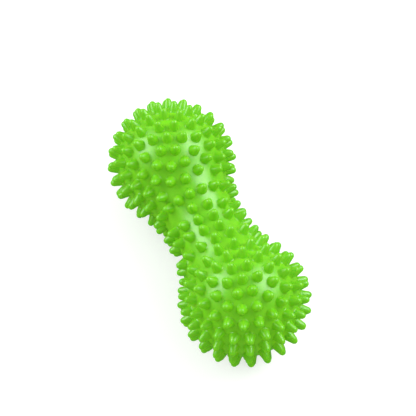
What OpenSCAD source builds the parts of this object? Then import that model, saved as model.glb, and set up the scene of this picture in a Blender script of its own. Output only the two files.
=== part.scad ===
// Spiky massage ball with two lobes, moulded in one piece of soft vinyl.
// Millimetres. The long axis lies along X and the ball rests on its spikes at Z = 0.

/* [Body] */
// Diameter over the smooth skin of each lobe
lobe_d = 63; // [56:1:72]
// Distance between the centres of the two lobes
lobe_spacing = 95; // [86:1:108]
// Diameter of the smooth skin at the middle of the waist
waist_d = 36; // [30:1:42]

/* [Spikes] */
// Height of a spike above the skin
spike_h = 6; // [4:0.5:8]
// Diameter of a spike where it leaves the skin
spike_base_d = 6.6; // [5:0.1:6.8]
// Diameter of a spike's rounded end
spike_tip_d = 4.3; // [3:0.1:4.6]
// Least distance between the middles of two spikes on the skin
spike_gap = 6.7; // [6.6:0.1:7.4]

/* [Lobe pattern] */
// Rings of spikes from the pole of a lobe to its mould seam, with the ring on the seam
rings = 6; // [5:1:6]
// Turn of each ring on the first lobe, from the pole outwards, in degrees
first_turns = [0, 8, 12, -1, 2, 3, 9];
// Turn of each ring on the second lobe, from the pole outwards, in degrees
second_turns = [0, 16, 3, -4, -2, -5, 8];

/* [Waist pattern] */
// Short rows of spikes that run along the middle of the waist
waist_rows = 14; // [12:1:14]
// Distance between two spikes of one row
row_pitch = 7.6; // [6.8:0.1:8.4]
// Distance from the middle that the rows stay within
row_reach = 8; // [7.5:0.5:9]
// Turn of the first row away from the pole, in degrees
row_turn = -13; // [-25:1:25]
// Spike pitches that the rows move along the waist in one full turn
row_steps = 3; // [0:1:6]
// Distance from the middle to the collar of spikes beside each lobe
collar_x = [15.5, 16.5];
// Spikes in each collar
collar_counts = [18, 15];
// Turn of each collar, in degrees
collar_turns = [-7, -3];

/* [Hidden] */

lobe_r = lobe_d / 2;
waist_r = waist_d / 2;
half_spacing = lobe_spacing / 2;
ring_pitch = 90 / rings;
tip_r = spike_tip_d / 2;
base_r = spike_base_d / 2;

// The hollow arc of the waist runs from lobe to lobe and this far into each, so that the two cross cleanly
seat = 0.01;
seat_r = lobe_r - seat;
waist_arc_r = (half_spacing * half_spacing + waist_r * waist_r - seat_r * seat_r) / (2 * (seat_r - waist_r));
waist_arc_z = waist_r + waist_arc_r;
// Half the length of the waist, up to where the arc meets a lobe
waist_half = half_spacing * waist_arc_r / (seat_r + waist_arc_r);

// Lean of a spike's side, so that it runs smoothly into the rounded end
ball_h = spike_h - tip_r;
lean = acos(tip_r / norm([base_r, ball_h])) - atan2(ball_h, base_r);
// How far a spike reaches below the skin, and how far its side stops inside the rounded end
root = spike_h / 5;
bite = 0.02;

// The ball has come to rest between two rows of spikes
rest_roll = ring_pitch / 2;

// A spike is stored as [place on the skin, direction of its axis]
function ring_count(k) = k == 0 ? 1 : round(4 * rings * sin(k * ring_pitch));
function turn_of(turns, k) = k < len(turns) ? turns[k] : 0;
function ring_direction(k, turn, pole) =
    [sin(k * ring_pitch) * cos(turn), sin(k * ring_pitch) * sin(turn), pole * cos(k * ring_pitch)];

// Distance from a lobe's centre to the waist's arc, in the direction whose lean from the long axis is given
function reach_to_arc(angle) =
    let (along = half_spacing * cos(angle) + waist_arc_z * sin(angle))
    let (rest = along * along - seat_r * seat_r - 2 * seat_r * waist_arc_r)
    rest < 0 ? half_spacing : along - sqrt(rest);

// Normal of the waist's skin at a point on it
function waist_normal(place) =
    let (radial = [0, place[1], place[2]])
    let (inward = waist_arc_z * radial / norm(radial) - place)
    inward / norm(inward);

// Spike on the lobe of one side, in a direction from its centre
function lobe_spike(side, direction) =
    let (centre = [side * half_spacing, 0, 0])
    let (angle = acos(-side * direction[0]))
    angle >= atan2(waist_arc_z, half_spacing)
        ? [centre + lobe_r * direction, direction]
        : let (place = centre + reach_to_arc(angle) * direction)
          [place, waist_normal(place)];

// Spike on the waist, at a distance from its middle and an angle round it
function waist_spike(x, angle) =
    let (r = waist_arc_z - sqrt(waist_arc_r * waist_arc_r - x * x))
    let (place = [x, r * sin(angle), r * cos(angle)])
    [place, waist_normal(place)];

// Rings from one number to another round both poles of a lobe, with one ring for both on the seam
function rings_of(lobe, turns, first, last) = [
    for (pole = [1, -1])
        for (k = [first : pole > 0 ? last : min(last, rings - 1)])
            let (count = ring_count(k), side = 2 * lobe - 1)
            for (i = [0 : count - 1])
                let (spike = lobe_spike(side, ring_direction(k, turn_of(turns, k) + i * 360 / count, pole)))
                if (side * spike[0][0] > collar_x[lobe])
                    spike
];

function both_lobes(first, last) =
    concat(rings_of(0, first_turns, first, last), rings_of(1, second_turns, first, last));

function is_clear(spike, others) =
    len([for (other = others) if (norm(spike[0] - other[0]) < spike_gap) 1]) == 0;

// A list of spikes, and those of another list that keep their distance from it
function add_clear(kept, more) = concat(kept, [for (spike = more) if (is_clear(spike, kept)) spike]);

// Each row is moved a little further along the waist than the one before
row_half = ceil(row_reach / row_pitch);
row_spikes = [
    for (row = [0 : waist_rows - 1])
        let (shift = (row * row_steps / waist_rows) % 1)
        for (step = [-row_half - 1 : row_half])
            let (x = (step + shift) * row_pitch)
            if (abs(x) < row_reach)
                waist_spike(x, row_turn + row * 360 / waist_rows)
];

collar_spikes = [
    for (lobe = [0, 1])
        for (i = [0 : collar_counts[lobe] - 1])
            waist_spike((2 * lobe - 1) * collar_x[lobe], collar_turns[lobe] + i * 360 / collar_counts[lobe])
];

spikes = add_clear(
    add_clear(add_clear(row_spikes, collar_spikes), both_lobes(0, rings - 2)),
    both_lobes(rings - 1, rings)
);

// Lowest point of the spikes once the ball is rolled to where it rests
function rolled_z(v) = v[1] * sin(rest_roll) + v[2] * cos(rest_roll);
lowest = min([for (spike = spikes) rolled_z(spike[0] + ball_h * spike[1])]) - tip_r;

module skin_outline() {
    for (side = [-1, 1])
        translate([0, side * half_spacing])
            circle(lobe_r);
    difference() {
        square([2 * waist_arc_z, 2 * waist_half], center = true);
        for (side = [-1, 1])
            translate([side * waist_arc_z, 0])
                circle(waist_arc_r);
    }
}

module skin() {
    rotate([0, 90, 0])
        rotate_extrude($fn = 96)
            intersection() {
                skin_outline($fn = 96);
                translate([0, -lobe_spacing])
                    square([lobe_spacing, 2 * lobe_spacing]);
            }
}

module spike() {
    side_h = ball_h + tip_r * sin(lean);
    translate([0, 0, -root])
        cylinder(h = root + side_h, r1 = base_r + root * tan(lean), r2 = tip_r * cos(lean) - bite);
    translate([0, 0, ball_h])
        sphere(tip_r);
}

module at_skin(spike) {
    direction = spike[1];
    translate(spike[0])
        rotate([0, acos(direction[2]), atan2(direction[1], direction[0])])
            children();
}

module massage_ball() {
    color([0.4, 0.84, 0.12])
        translate([0, 0, -lowest])
            rotate([rest_roll, 0, 0]) {
                skin();
                for (spike = spikes)
                    at_skin(spike)
                        spike($fn = 24);
            }
}

massage_ball();
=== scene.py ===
"""A spiky massage ball with two lobes in soft green vinyl, lit by two soft boxes on a white floor."""
import math

import bpy
from mathutils import Matrix, Vector


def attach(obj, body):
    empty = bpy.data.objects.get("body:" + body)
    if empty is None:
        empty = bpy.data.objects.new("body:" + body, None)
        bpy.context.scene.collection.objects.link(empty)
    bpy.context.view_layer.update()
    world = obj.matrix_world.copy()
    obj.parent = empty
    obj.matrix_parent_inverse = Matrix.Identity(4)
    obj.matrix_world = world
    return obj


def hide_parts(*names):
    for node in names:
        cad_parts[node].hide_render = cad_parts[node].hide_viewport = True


bl_info = {
    "name": "Spiky massage ball",
    "version": (1, 0, 0),
    "blender": (4, 5, 0),
    "location": "View3D > Sidebar > Massage Ball",
    "description": "Models a two-lobed massage ball with soft vinyl spikes in a white studio",
    "category": "Mesh",
}

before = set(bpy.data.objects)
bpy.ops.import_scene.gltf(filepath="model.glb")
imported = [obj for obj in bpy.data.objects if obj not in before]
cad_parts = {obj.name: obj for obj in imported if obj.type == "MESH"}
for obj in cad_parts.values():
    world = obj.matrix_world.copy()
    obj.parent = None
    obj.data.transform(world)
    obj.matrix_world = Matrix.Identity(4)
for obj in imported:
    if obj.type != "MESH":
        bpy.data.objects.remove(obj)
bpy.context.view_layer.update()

MM = 0.001
# Rings of spikes from the pole of a lobe to its mould seam, and the angle between two of them
RINGS = 6
RING_PITCH = math.pi / 2 / RINGS
# Slope at which a spike's hollow foot crosses the skin, and the slopes at its rings, lowest ring first
FOOT_CROSSING = math.radians(45)
FOOT_SLOPES = [math.radians(angle) for angle in (35, 56, 67)]
# Angles of the rounded end's two rings: the first above where the side ends, the second above its middle
END_RISE = math.radians(4)
END_TOP = math.radians(56)
# Edges that meet at more than this stay sharp
SMOOTH_ANGLE = math.radians(40)
# Points nearer to each other than this are one: on the smooth skin, and after the spikes are welded to it
TOUCH = 0.01 * MM
SEAM_TOUCH = 0.05 * MM

# Scales of the noise patterns in the vinyl, and the depth of its waves and grain
CLOUDS = 45
WAVES = 55
GLOSS_PATCHES = 130
GRAIN = 900
WAVE_DEPTH = 0.6 * MM
GRAIN_DEPTH = 0.02 * MM
# How much of the tip's colour a spike's end takes, the tip colour being painted shade against the light
# the ends catch, and how far the clouds and the gloss patches vary
TIP_SHADE_SHARE = 0.75
CLOUD_SHARE = 0.3
GLOSS_CHANGE = 0.12

# Greys of the paper floor: as it lights the ball, as the camera sees it, and as it shows in the gloss
FLOOR_LIT = 0.75
FLOOR_SEEN = 0.6
FLOOR_IN_GLOSS = 0.08
# Glow that brings the seen floor up to white, and how much darker the room is in the gloss
FLOOR_GLOW = 0.46
ROOM_GLOSS_CUT = 0.78
FLOOR_SIZE = 6
# Soft boxes: name, degrees to the right of the camera and above it, width and height in metres
SOFT_BOXES = (
    ("left_box", -55, 36, 0.5, 0.8),
    ("right_box", 43, 40, 0.65, 0.8),
)
# Distance of a soft box from the ball, and its power per square metre for the look of white paper
BOX_DISTANCE = 1
WHITE_POWER = 4


# Sizes and colours that a user would change

class BallSizes(bpy.types.PropertyGroup):
    """Sizes of the moulded ball"""

    lobe_d: bpy.props.FloatProperty(
        name="Lobe diameter", description="Diameter over the smooth skin of each lobe",
        default=0.063, unit="LENGTH", precision=4)
    lobe_spacing: bpy.props.FloatProperty(
        name="Lobe spacing", description="Distance between the centres of the two lobes",
        default=0.095, unit="LENGTH", precision=4)
    waist_d: bpy.props.FloatProperty(
        name="Waist diameter", description="Diameter of the smooth skin at the middle of the waist",
        default=0.038, unit="LENGTH", precision=4)
    spike_h: bpy.props.FloatProperty(
        name="Spike height", description="Height of a spike above the skin",
        default=0.006, unit="LENGTH", precision=4)
    spike_base_d: bpy.props.FloatProperty(
        name="Spike base", description="Diameter of a spike where its side meets the skin",
        default=0.0062, unit="LENGTH", precision=4)
    spike_tip_d: bpy.props.FloatProperty(
        name="Spike end", description="Diameter of a spike's rounded end",
        default=0.004, unit="LENGTH", precision=4)
    foot_r: bpy.props.FloatProperty(
        name="Foot radius", description="Radius of the hollow between a spike's side and the skin",
        default=0.0016, unit="LENGTH", precision=4)
    skin_step: bpy.props.FloatProperty(
        name="Skin step", description="Length of the skin's faces along the ball",
        default=0.0016, unit="LENGTH", precision=4)
    skin_turns: bpy.props.IntProperty(
        name="Skin faces around", description="Faces of the skin round the long axis", default=112)
    spike_faces: bpy.props.IntProperty(
        name="Spike faces around", description="Faces round one spike", default=12)


class SpikePattern(bpy.types.PropertyGroup):
    """Where the spikes stand"""

    first_turns: bpy.props.FloatVectorProperty(
        name="First lobe turns",
        description="Turn of each ring on the first lobe, pole first, in degrees",
        size=RINGS + 1, default=(0, 8, 12, -1, 2, 3, 9))
    second_turns: bpy.props.FloatVectorProperty(
        name="Second lobe turns",
        description="Turn of each ring on the second lobe, pole first, in degrees",
        size=RINGS + 1, default=(0, 16, 3, -4, -2, -5, 8))
    spike_gap: bpy.props.FloatProperty(
        name="Least gap", description="Least distance between the middles of two spikes on the skin",
        default=0.0067, unit="LENGTH", precision=4)
    waist_rows: bpy.props.IntProperty(
        name="Waist rows", description="Short rows of spikes along the middle of the waist", default=14)
    row_pitch: bpy.props.FloatProperty(
        name="Row pitch", description="Distance between two spikes of one waist row",
        default=0.0076, unit="LENGTH", precision=4)
    row_reach: bpy.props.FloatVectorProperty(
        name="Row reach",
        description="Distance from the middle that the waist rows reach towards each lobe",
        size=2, default=(0.008, 0.0093), unit="LENGTH", precision=4)
    row_turn: bpy.props.FloatProperty(
        name="Row turn", description="Turn of the first waist row, in degrees", default=-13)
    row_steps: bpy.props.IntProperty(
        name="Row steps",
        description="Spike pitches that the waist rows move along in one full turn", default=3)
    collar_x: bpy.props.FloatVectorProperty(
        name="Collar places", description="Distance from the middle to the collar beside each lobe",
        size=2, default=(0.0155, 0.016), unit="LENGTH", precision=4)
    collar_counts: bpy.props.IntVectorProperty(
        name="Collar spikes", description="Spikes in each collar", size=2, default=(18, 15))
    collar_turns: bpy.props.FloatVectorProperty(
        name="Collar turns", description="Turn of each collar, in degrees", size=2, default=(-5, -3))


class VinylLook(bpy.types.PropertyGroup):
    """Colours of the vinyl, with painted light between the spikes and painted shade at their ends, and
    its gloss
    """

    # Painted light and shade: the skin colour is the vinyl's green painted lighter against the shade
    # between the spikes, and the tip colour is painted darker against the light the spike ends catch.
    skin_colour_with_painted_light: bpy.props.FloatVectorProperty(
        name="Skin colour", description="Colour of the vinyl between the spikes",
        subtype="COLOR", size=4, min=0, max=1, default=(0.185, 0.58, 0.008, 1))
    tip_colour_with_painted_shade: bpy.props.FloatVectorProperty(
        name="Tip colour", description="Colour of the vinyl at the end of a spike",
        subtype="COLOR", size=4, min=0, max=1, default=(0.145, 0.47, 0.007, 1))
    roughness: bpy.props.FloatProperty(
        name="Roughness", description="Roughness of the glossy skin",
        subtype="FACTOR", min=0, max=1, default=0.33)


class StudioLook(bpy.types.PropertyGroup):
    """Lights and camera of the studio"""

    box_radiance: bpy.props.FloatProperty(
        name="Soft box brightness",
        description="Brightness of the soft boxes against white paper", default=3.4)
    sky: bpy.props.FloatProperty(
        name="Room brightness",
        description="Brightness of the light that comes from all sides", default=0.92)
    focal_length: bpy.props.FloatProperty(
        name="Focal length", description="Focal length of the camera", unit="CAMERA", default=128)
    eye: bpy.props.FloatVectorProperty(
        name="Camera place", description="Where the camera stands", subtype="XYZ", unit="LENGTH",
        default=(0.31658, -0.20105, 0.78773))
    aim: bpy.props.FloatVectorProperty(
        name="Camera aim", description="Point that the camera looks at", subtype="XYZ", unit="LENGTH",
        default=(-0.00992, 0.00482, 0.04281))
    roll: bpy.props.FloatProperty(
        name="Camera roll", description="Turn of the camera about its line of sight",
        subtype="ANGLE", unit="ROTATION", default=math.radians(7.33))


# The shape of the skin and the places of the spikes

class BallForm:
    """The smooth skin as two balls and a hollow arc between them, turned round the long axis."""

    def __init__(self, sizes):
        self.lobe_r = sizes.lobe_d / 2
        self.waist_r = sizes.waist_d / 2
        self.half = sizes.lobe_spacing / 2
        grown = self.half ** 2 + self.waist_r ** 2 - self.lobe_r ** 2
        self.arc_r = grown / (2 * (self.lobe_r - self.waist_r))
        self.arc_z = self.waist_r + self.arc_r

    def waist_radius(self, x):
        return self.arc_z - math.sqrt(self.arc_r ** 2 - x ** 2)

    def outline(self, step):
        """Points from one end of the skin to the other, evenly apart, above the long axis."""
        touch_turn = math.atan2(self.arc_z, self.half)
        lobe_steps = round(self.lobe_r * (math.pi - touch_turn) / step)
        arc_half = math.pi / 2 - touch_turn
        arc_steps = round(2 * self.arc_r * arc_half / step)
        lobe = [
            Vector((-self.half - self.lobe_r * math.cos(t), 0, self.lobe_r * math.sin(t)))
            for t in (i * (math.pi - touch_turn) / lobe_steps for i in range(lobe_steps))
        ]
        waist = [
            Vector((self.arc_r * math.sin(t), 0, self.arc_z - self.arc_r * math.cos(t)))
            for t in (-arc_half + i * 2 * arc_half / arc_steps for i in range(arc_steps + 1))
        ]
        return lobe + waist + [Vector((-p.x, 0, p.z)) for p in reversed(lobe)]

    def waist_normal(self, place):
        radial = Vector((0, place.y, place.z))
        return (self.arc_z * radial.normalized() - place).normalized()

    def waist_spike(self, x, angle):
        r = self.waist_radius(x)
        place = Vector((x, r * math.sin(angle), r * math.cos(angle)))
        return place, self.waist_normal(place)

    def lobe_spike(self, side, direction):
        """Spike in a direction from a lobe's centre, on the lobe or beyond it on the waist's arc."""
        centre = Vector((side * self.half, 0, 0))
        angle = math.acos(-side * direction.x)
        if angle >= math.atan2(self.arc_z, self.half):
            return centre + self.lobe_r * direction, direction
        along = self.half * math.cos(angle) + self.arc_z * math.sin(angle)
        rest = along ** 2 - self.lobe_r ** 2 - 2 * self.lobe_r * self.arc_r
        if rest < 0:
            return None
        place = centre + (along - math.sqrt(rest)) * direction
        return place, self.waist_normal(place)


def lobe_rings(form, pattern, numbers):
    """Spikes of some rings round both poles of each lobe, with one ring for both on the mould seam."""
    turns_of = (pattern.first_turns, pattern.second_turns)
    spikes = []
    for lobe, pole in ((0, 1), (0, -1), (1, 1), (1, -1)):
        side = 2 * lobe - 1
        turns = turns_of[lobe]
        for k in numbers:
            if k == RINGS and pole < 0:
                continue
            lean = k * RING_PITCH
            count = max(round(4 * RINGS * math.sin(lean)), 1)
            for i in range(count):
                turn = math.radians(turns[k]) + i * math.tau / count
                flat = math.sin(lean)
                direction = Vector((flat * math.cos(turn), flat * math.sin(turn), pole * math.cos(lean)))
                spike = form.lobe_spike(side, direction)
                if spike and side * spike[0].x > pattern.collar_x[lobe]:
                    spikes.append(spike)
    return spikes


def waist_row_spikes(form, pattern):
    """Short rows along the waist, each a little further along than the one before."""
    spikes = []
    half = math.ceil(max(pattern.row_reach) / pattern.row_pitch)
    for row in range(pattern.waist_rows):
        shift = (row * pattern.row_steps / pattern.waist_rows) % 1
        angle = math.radians(pattern.row_turn) + row * math.tau / pattern.waist_rows
        for step in range(-half - 1, half + 1):
            x = (step + shift) * pattern.row_pitch
            if -pattern.row_reach[0] < x < pattern.row_reach[1]:
                spikes.append(form.waist_spike(x, angle))
    return spikes


def collar_spikes(form, pattern):
    """A ring of spikes round the waist beside each lobe."""
    return [
        form.waist_spike(
            (2 * lobe - 1) * pattern.collar_x[lobe],
            math.radians(pattern.collar_turns[lobe]) + i * math.tau / pattern.collar_counts[lobe])
        for lobe in (0, 1)
        for i in range(pattern.collar_counts[lobe])
    ]


def spike_places(form, pattern):
    """Every spike as its place on the skin and its direction, where a crowded one gives way."""
    inner = range(RINGS - 1)
    outer = range(RINGS - 1, RINGS + 1)
    kept = []
    for group in (
        waist_row_spikes(form, pattern),
        collar_spikes(form, pattern),
        lobe_rings(form, pattern, inner),
        lobe_rings(form, pattern, outer),
    ):
        kept += [
            spike for spike in group
            if all((spike[0] - other[0]).length >= pattern.spike_gap for other in kept)
        ]
    return kept


def rest_matrix(places, sizes):
    """How the ball lies on the floor, rolled to a rest between two rows of spikes."""
    roll = Matrix.Rotation(RING_PITCH / 2, 4, "X")
    end_r = sizes.spike_tip_d / 2
    lowest = min((roll @ (place + (sizes.spike_h - end_r) * normal)).z for place, normal in places)
    return Matrix.Translation((0, 0, end_r - lowest)) @ roll


# Modelling by hand

def deselect_all():
    if bpy.context.object and bpy.context.object.mode != "OBJECT":
        bpy.ops.object.mode_set(mode="OBJECT")
    bpy.ops.object.select_all(action="DESELECT")


def select_only(*pieces):
    deselect_all()
    for piece in pieces:
        piece.select_set(True)
    bpy.context.view_layer.objects.active = pieces[0]


def apply_modifier(piece, kind, **settings):
    select_only(piece)
    modifier = piece.modifiers.new(kind.title(), kind)
    for name, value in settings.items():
        setattr(modifier, name, value)
    bpy.ops.object.modifier_apply(modifier=modifier.name)


def draw_skin(form, sizes):
    """The smooth skin: a chain of edges along its outline, spun round the long axis."""
    outline = form.outline(sizes.skin_step)
    deselect_all()
    bpy.ops.mesh.primitive_plane_add(size=MM)
    skin = bpy.context.object
    skin.name = "vinyl_ball"
    bpy.ops.object.mode_set(mode="EDIT")
    bpy.ops.mesh.select_all(action="SELECT")
    bpy.ops.mesh.merge(type="CENTER")
    bpy.ops.transform.translate(value=outline[0])
    for start, end in zip(outline, outline[1:]):
        bpy.ops.mesh.extrude_region_move(TRANSFORM_OT_translate={"value": end - start})
    bpy.ops.mesh.select_all(action="SELECT")
    bpy.ops.mesh.spin(steps=sizes.skin_turns, angle=math.tau, center=(0, 0, 0), axis=(1, 0, 0))
    bpy.ops.mesh.select_all(action="SELECT")
    bpy.ops.mesh.remove_doubles(threshold=TOUCH)
    bpy.ops.mesh.normals_make_consistent(inside=False)
    bpy.ops.object.mode_set(mode="OBJECT")
    return skin


def spike_profile(sizes):
    """Radius and height of each ring of a spike's foot, from below the skin upwards, and of its end."""
    end_r = sizes.spike_tip_d / 2
    base_r = sizes.spike_base_d / 2
    end_h = sizes.spike_h - end_r
    lean = math.acos(end_r / math.hypot(base_r, end_h)) - math.atan2(end_h, base_r)
    sink = sizes.foot_r * (1 - math.cos(FOOT_CROSSING))
    reach = sizes.foot_r * math.tan((math.pi / 2 - lean) / 2) + sink * math.tan(lean)
    foot = [
        (base_r + reach - sizes.foot_r * math.sin(t), sizes.foot_r * (1 - math.cos(t)) - sink)
        for t in (*FOOT_SLOPES, math.pi / 2 - lean)
    ]
    end = [(end_r * math.cos(t), end_h + end_r * math.sin(t)) for t in (lean + END_RISE, END_TOP)]
    return foot, end


def draw_spike(sizes):
    """One spike: a disc extruded ring by ring and closed over its rounded end.

    Its points know how far they rise above the skin, and each ring of its foot is a vertex group.
    """
    foot, end = spike_profile(sizes)
    rings = foot + end
    deselect_all()
    bpy.ops.mesh.primitive_circle_add(vertices=sizes.spike_faces, radius=rings[0][0], fill_type="NGON")
    spike = bpy.context.object
    spike.name = "spike"
    bpy.ops.object.mode_set(mode="EDIT")
    bpy.ops.mesh.select_all(action="SELECT")
    bpy.ops.transform.translate(value=(0, 0, rings[0][1]))
    for (r0, h0), (r1, h1) in zip(rings, rings[1:]):
        bpy.ops.mesh.extrude_region_move(TRANSFORM_OT_translate={"value": (0, 0, h1 - h0)})
        bpy.ops.transform.resize(value=(r1 / r0, r1 / r0, 1), center_override=(0, 0, h1))
    top = (0, 0, sizes.spike_h - rings[-1][1])
    bpy.ops.mesh.extrude_region_move(TRANSFORM_OT_translate={"value": top})
    bpy.ops.mesh.merge(type="CENTER")
    bpy.ops.mesh.select_all(action="SELECT")
    bpy.ops.mesh.normals_make_consistent(inside=False)
    bpy.ops.object.mode_set(mode="OBJECT")
    rise = spike.data.attributes.new("rise", "FLOAT", "POINT")
    for vertex, value in zip(spike.data.vertices, rise.data):
        value.value = vertex.co.z / sizes.spike_h
    for number, (_, height) in enumerate(foot[:-1]):
        ring = [vertex.index for vertex in spike.data.vertices if abs(vertex.co.z - height) < TOUCH]
        spike.vertex_groups.new(name=f"foot_{number}").add(ring, 1, "ADD")
    return spike


def stand_spikes(spike, places):
    """A copy of the spike at every place, all joined into one piece."""
    copies = []
    for place, normal in places:
        copy = spike.copy()
        copy.data = spike.data.copy()
        bpy.context.collection.objects.link(copy)
        turn = normal.to_track_quat("Z", "X").to_matrix().to_4x4()
        copy.data.transform(Matrix.Translation(place) @ turn)
        copies.append(copy)
    bpy.data.objects.remove(spike)
    select_only(*copies)
    bpy.ops.object.join()
    return bpy.context.object


def lay_feet_on_skin(spikes, skin, sizes):
    """Each ring of the spikes' feet is laid at its own height over the curved skin."""
    foot, _ = spike_profile(sizes)
    for number, (_, height) in enumerate(foot[:-1]):
        apply_modifier(
            spikes, "SHRINKWRAP", target=skin, wrap_method="NEAREST_SURFACEPOINT",
            wrap_mode="ABOVE_SURFACE", offset=height, vertex_group=f"foot_{number}")


def weld(skin, spikes):
    """Join the spikes to the skin as one closed surface, and merge the shortest edges where they meet."""
    apply_modifier(skin, "BOOLEAN", object=spikes, operation="UNION", solver="MANIFOLD")
    bpy.data.objects.remove(spikes)
    bpy.ops.object.mode_set(mode="EDIT")
    bpy.ops.mesh.select_all(action="SELECT")
    bpy.ops.mesh.remove_doubles(threshold=SEAM_TOUCH)
    bpy.ops.mesh.dissolve_degenerate(threshold=SEAM_TOUCH)
    bpy.ops.object.mode_set(mode="OBJECT")
    skin.vertex_groups.clear()


class MODEL_OT_vinyl_ball(bpy.types.Operator):
    """Model the ball's skin with all its spikes"""

    bl_idname = "mesh.massage_ball_model"
    bl_label = "Model the ball"

    def execute(self, context):
        sizes = context.scene.ball_sizes
        form = BallForm(sizes)
        places = spike_places(form, context.scene.spike_pattern)
        skin = draw_skin(form, sizes)
        spikes = stand_spikes(draw_spike(sizes), places)
        lay_feet_on_skin(spikes, skin, sizes)
        weld(skin, spikes)
        skin.data.transform(rest_matrix(places, sizes))
        bpy.ops.object.shade_smooth_by_angle(angle=SMOOTH_ANGLE)
        skin.data.materials.clear()
        skin.data.materials.append(vinyl_material(context.scene.vinyl_look))
        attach(skin, "root")
        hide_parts("massage_ball")
        return {"FINISHED"}


# Materials

class Wire:
    """A node's output that Python's own operators can work on."""

    def __init__(self, tree, socket):
        self.tree = tree
        self.socket = socket

    def maths(self, operation, first, second):
        return add_node(self.tree, "ShaderNodeMath", {"operation": operation}, {0: first, 1: second})

    def __add__(self, other):
        return self.maths("ADD", self, other)

    def __sub__(self, other):
        return self.maths("SUBTRACT", self, other)

    def __rsub__(self, other):
        return self.maths("SUBTRACT", other, self)

    def __mul__(self, other):
        return self.maths("MULTIPLY", self, other)

    __radd__ = __add__
    __rmul__ = __mul__


def add_node(tree, kind, settings, sockets, output=0):
    """Add a node with its settings first and then its sockets' values or links."""
    node = tree.nodes.new(kind)
    for name, value in settings.items():
        setattr(node, name, value)
    for name, value in sockets.items():
        if isinstance(value, Wire):
            tree.links.new(value.socket, node.inputs[name])
        else:
            node.inputs[name].default_value = value
    return Wire(tree, node.outputs[output])


def mix_colours(tree, factor, first, second):
    """Mix's colour sockets have the numbers 6 and 7, and its colour output has the number 2."""
    return add_node(
        tree, "ShaderNodeMix", {"data_type": "RGBA"}, {0: factor, 6: first, 7: second}, output=2)


def new_material(name):
    material = bpy.data.materials.new(name)
    material.use_nodes = True
    material.node_tree.nodes.clear()
    return material, material.node_tree


def finish_material(tree, shader):
    out = tree.nodes.new("ShaderNodeOutputMaterial")
    tree.links.new(shader.socket, out.inputs["Surface"])


def noise(tree, place, scale, detail=2.0):
    return add_node(
        tree, "ShaderNodeTexNoise", {}, {"Vector": place, "Scale": scale, "Detail": detail}, output="Fac")


def around_zero(pattern, width):
    """A pattern from 0 to 1, brought to this width with zero in its middle."""
    return (pattern - 0.5) * width


def bump(tree, pattern, depth, **below):
    """Raise the surface by a pattern, on top of the bump below it where one is given."""
    return add_node(
        tree, "ShaderNodeBump", {},
        {"Height": pattern, "Strength": 1.0, "Distance": depth, **below}, output="Normal")


def vinyl_material(look):
    """Glossy, translucent soft vinyl, painted darker towards the ends of the spikes and lighter on the
    skin between them: painted shade against the light the ends catch, and painted light against the shade
    between the spikes.
    """
    material, tree = new_material("soft_vinyl")
    place = add_node(tree, "ShaderNodeTexCoord", {}, {}, output="Object")
    rise = add_node(tree, "ShaderNodeAttribute", {"attribute_name": "rise"}, {}, output="Fac")
    # Painted light and shade by height above the skin: lighter skin between the spikes, darker spike
    # ends, with random clouds of tone on top.
    tip_shade_and_clouds = rise * TIP_SHADE_SHARE + around_zero(noise(tree, place, CLOUDS), CLOUD_SHARE)
    waves = bump(tree, noise(tree, place, WAVES, detail=1.0), WAVE_DEPTH)
    shader = add_node(
        tree, "ShaderNodeBsdfPrincipled", {},
        {
            "Base Color": mix_colours(
                tree, tip_shade_and_clouds, tuple(look.skin_colour_with_painted_light), tuple(look.tip_colour_with_painted_shade)),
            "Roughness": around_zero(noise(tree, place, GLOSS_PATCHES), GLOSS_CHANGE) + look.roughness,
            "Normal": bump(tree, noise(tree, place, GRAIN), GRAIN_DEPTH, Normal=waves),
            "IOR": 1.5,
            "Specular IOR Level": 0.9,
            "Subsurface Weight": 1.0,
            "Subsurface Radius": (0.8, 1.0, 0.5),
            "Subsurface Scale": 0.002,
        })
    finish_material(tree, shader)
    return material


def grey_paper(tree, grey):
    return add_node(tree, "ShaderNodeBsdfDiffuse", {}, {"Color": (grey, grey, grey, 1)})


def ray(tree, kind):
    """1 for a ray of this kind, and 0 for any other."""
    return add_node(tree, "ShaderNodeLightPath", {}, {}, output=f"Is {kind} Ray")


def choose(tree, factor, first, second):
    """The first shader where the factor is 0, and the second where it is 1."""
    return add_node(tree, "ShaderNodeMixShader", {}, {0: factor, 1: first, 2: second})


def floor_material():
    """White paper that reaches full white for the camera and keeps the ball's shadow."""
    material, tree = new_material("white_paper")
    glow = add_node(tree, "ShaderNodeEmission", {}, {"Color": (1, 1, 1, 1), "Strength": FLOOR_GLOW})
    seen = add_node(tree, "ShaderNodeAddShader", {}, {0: grey_paper(tree, FLOOR_SEEN), 1: glow})
    paper = choose(tree, ray(tree, "Camera"), grey_paper(tree, FLOOR_LIT), seen)
    finish_material(tree, choose(tree, ray(tree, "Glossy"), paper, grey_paper(tree, FLOOR_IN_GLOSS)))
    return material


# The studio

def add_soft_box(name, camera, turn, climb, width, height, radiance):
    """A soft box that faces the ball, as bright as radiance times white paper.

    Seen from the ball, it stands turn degrees to the right of the camera and climb degrees above it.
    """
    data = bpy.data.lights.new(name, "AREA")
    data.shape = "RECTANGLE"
    data.size = width
    data.size_y = height
    data.energy = WHITE_POWER * radiance * width * height
    box = bpy.data.objects.new(name, data)
    bpy.context.collection.objects.link(box)
    angle = math.hypot(turn, climb)
    axis = Vector((-climb, turn, 0)).normalized()
    place = Matrix.Rotation(math.radians(angle), 4, axis) @ Matrix.Translation((0, 0, BOX_DISTANCE))
    box.matrix_world = camera.matrix_world.to_3x3().to_4x4() @ place


def add_floor():
    deselect_all()
    bpy.ops.mesh.primitive_plane_add(size=FLOOR_SIZE)
    floor = bpy.context.object
    floor.name = "floor"
    floor.data.materials.append(floor_material())


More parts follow.
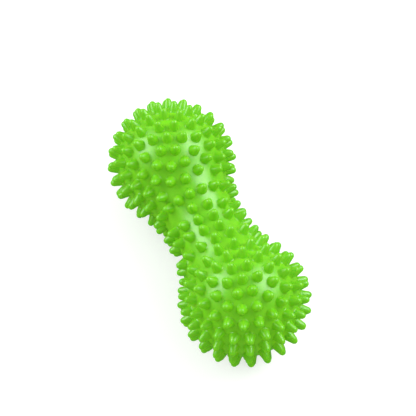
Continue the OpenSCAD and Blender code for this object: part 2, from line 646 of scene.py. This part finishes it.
def set_world(brightness):
    """Even light from all sides, white for the camera and dimmer in the ball's gloss."""
    world = bpy.data.worlds.new("white_room")
    world.use_nodes = True
    tree = world.node_tree
    tree.nodes.clear()
    strength = ray(tree, "Camera") * (1 - brightness) + brightness - ray(tree, "Glossy") * ROOM_GLOSS_CUT
    room = add_node(tree, "ShaderNodeBackground", {}, {"Color": (1, 1, 1, 1), "Strength": strength})
    out = tree.nodes.new("ShaderNodeOutputWorld")
    tree.links.new(room.socket, out.inputs["Surface"])
    bpy.context.scene.world = world


def add_camera(look):
    data = bpy.data.cameras.new("camera")
    data.lens = look.focal_length
    camera = bpy.data.objects.new("camera", data)
    bpy.context.collection.objects.link(camera)
    eye = Vector(look.eye)
    level = (Vector(look.aim) - eye).to_track_quat("-Z", "Y")
    camera.matrix_world = (
        Matrix.Translation(eye) @ level.to_matrix().to_4x4() @ Matrix.Rotation(look.roll, 4, "Z"))
    bpy.context.scene.camera = camera
    return camera


class MODEL_OT_studio(bpy.types.Operator):
    """Set up the white floor, the soft boxes and the camera"""

    bl_idname = "scene.massage_ball_studio"
    bl_label = "Set up the studio"

    def execute(self, context):
        look = context.scene.studio_look
        camera = add_camera(look)
        for name, turn, climb, width, height in SOFT_BOXES:
            add_soft_box(name, camera, turn, climb, width, height, look.box_radiance)
        set_world(look.sky)
        add_floor()
        context.scene.view_settings.view_transform = "Standard"
        return {"FINISHED"}


class MODEL_PT_massage_ball(bpy.types.Panel):
    """Sizes, colours and steps of the massage ball"""

    bl_label = "Massage Ball"
    bl_idname = "MODEL_PT_massage_ball"
    bl_space_type = "VIEW_3D"
    bl_region_type = "UI"
    bl_category = "Massage Ball"

    def draw(self, context):
        for name in SETTINGS:
            group = getattr(context.scene, name)
            box = self.layout.box()
            for key in group.__annotations__:
                box.prop(group, key)
        for step in STEPS:
            self.layout.operator(step.bl_idname)


SETTINGS = {
    "ball_sizes": BallSizes,
    "spike_pattern": SpikePattern,
    "vinyl_look": VinylLook,
    "studio_look": StudioLook,
}
STEPS = (MODEL_OT_vinyl_ball, MODEL_OT_studio)


def register():
    for name, group in SETTINGS.items():
        bpy.utils.register_class(group)
        setattr(bpy.types.Scene, name, bpy.props.PointerProperty(type=group))
    for cls in (*STEPS, MODEL_PT_massage_ball):
        bpy.utils.register_class(cls)


def unregister():
    for cls in (MODEL_PT_massage_ball, *STEPS):
        bpy.utils.unregister_class(cls)
    for name, group in SETTINGS.items():
        delattr(bpy.types.Scene, name)
        bpy.utils.unregister_class(group)


def main():
    register()
    bpy.ops.mesh.massage_ball_model()
    bpy.ops.scene.massage_ball_studio()


if __name__ == "__main__":
    main()
